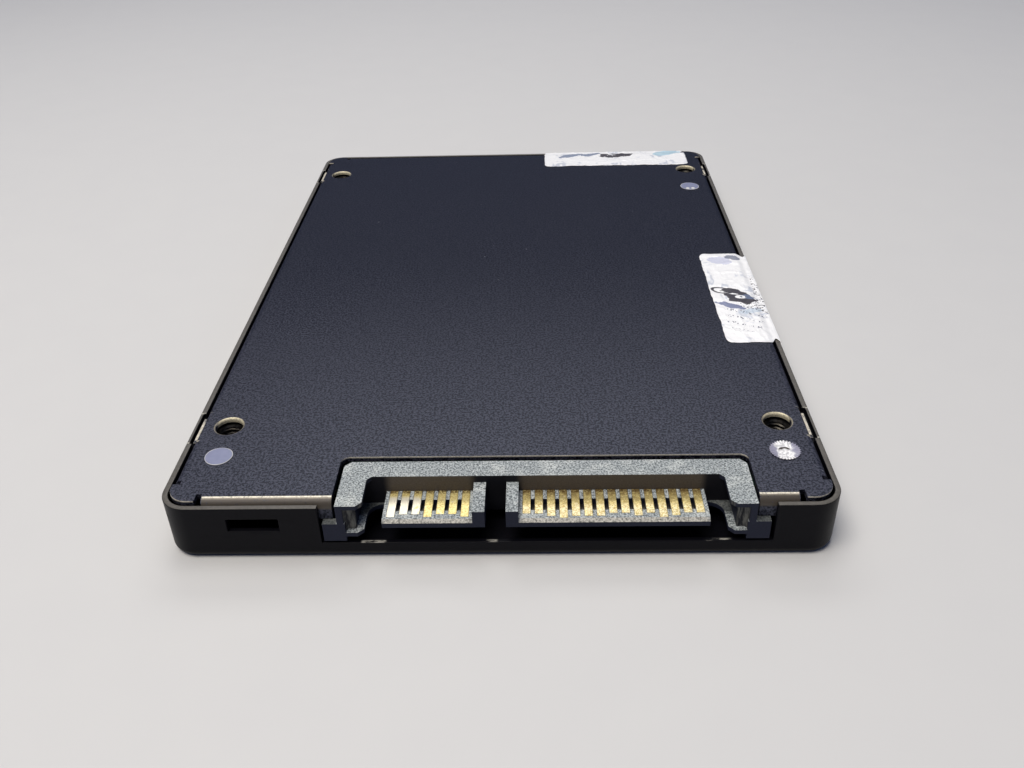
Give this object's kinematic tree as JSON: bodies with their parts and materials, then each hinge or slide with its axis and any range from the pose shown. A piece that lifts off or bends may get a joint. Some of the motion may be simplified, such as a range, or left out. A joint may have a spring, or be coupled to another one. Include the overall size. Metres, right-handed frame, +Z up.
{
  "type": "solid state drive",
  "caption": "Flat rectangular 2.5-inch solid state drive with a sheet-metal mounting cover, data and power plug, foil seals and a lift-off cover over its circuit board.",
  "frame": {"origin": "centre of the base face, which is the label face that rests on a table", "axes": "+X towards the power contacts, +Y from the connector end to the far end, +Z up through the mounting cover"},
  "size_m": [0.0699, 0.1003, 0.0071],
  "materials": {
    "shell_black": "satin black, fine grain",
    "label_film": "satin printed film",
    "amber_film": "smooth polyimide film",
    "insert_steel": "turned, nickel plated",
    "board_laminate": "green solder mask over copper",
    "screw_steel": "zinc plated",
    "plug_plastic": "glass-filled moulded plastic",
    "contact_gold": "gold flash over nickel, worn at the tips",
    "tinned_metal": "matt tin",
    "chip_epoxy": "moulded epoxy",
    "inductor_core": "pressed ferrite powder",
    "tantalum_case": "moulded case",
    "capacitor_ceramic": "fired ceramic with tinned ends",
    "resistor_body": "coated ceramic with tinned ends",
    "fuse_body": "fired ceramic with tinned ends",
    "crystal_can": "seam-welded lid",
    "silicone_pad": "soft silicone",
    "cover_paint": "charcoal powder paint, fine grain, rubbed at the folds",
    "seal_foil": "creased bright foil, worn through in places",
    "round_seal": "smooth satin film with a bright edge"
  },
  "bodies": {
    "drive": {"base_shell": "shell_black", "product_label": "label_film", "insulator_film": "amber_film", "bottom_thread_inserts": "insert_steel", "side_thread_inserts": "insert_steel", "circuit_board": "board_laminate", "board_screws": "screw_steel", "plug_housing": "plug_plastic", "signal_contacts": "contact_gold", "power_contacts": "contact_gold", "plug_hold_downs": "tinned_metal", "controller_chip": "chip_epoxy", "dram_chip": "chip_epoxy", "flash_top": "chip_epoxy", "flash_underside": "chip_epoxy", "power_management_chip": "chip_epoxy", "serial_flash_chip": "chip_epoxy", "serial_flash_leads": "tinned_metal", "power_inductors": "inductor_core", "inductor_terminals": "tinned_metal", "tantalum_capacitors": "tantalum_case", "ceramic_capacitors": "capacitor_ceramic", "small_capacitors": "capacitor_ceramic", "small_resistors": "resistor_body", "input_fuse": "fuse_body", "surge_suppressor": "chip_epoxy", "crystal_oscillator": "crystal_can", "thermal_pad": "silicone_pad"},
    "cover": {"cover_plate": "cover_paint", "side_seal": "seal_foil", "back_seal": "seal_foil"},
    "front_left_screw": {"cover_screw_front_left": "screw_steel", "screw_seal_front_left": "round_seal"},
    "front_right_screw": {"cover_screw_front_right": "screw_steel", "screw_seal_front_right": "seal_foil"},
    "back_right_screw": {"cover_screw_back_right": "screw_steel", "screw_seal_back_right": "round_seal"}
  },
  "joints": [
    {"name": "cover_lift", "type": "slide", "parent": "drive", "child": "cover", "axis": [0, 0, 1], "range_m": [0, 0.014]},
    {"name": "front_left_screw_out", "type": "slide", "parent": "cover", "child": "front_left_screw", "axis": [0, 0, 1], "range_m": [0, 0.006]},
    {"name": "front_right_screw_out", "type": "slide", "parent": "cover", "child": "front_right_screw", "axis": [0, 0, 1], "range_m": [0, 0.006]},
    {"name": "back_right_screw_out", "type": "slide", "parent": "cover", "child": "back_right_screw", "axis": [0, 0, 1], "range_m": [0, 0.006]}
  ]
}
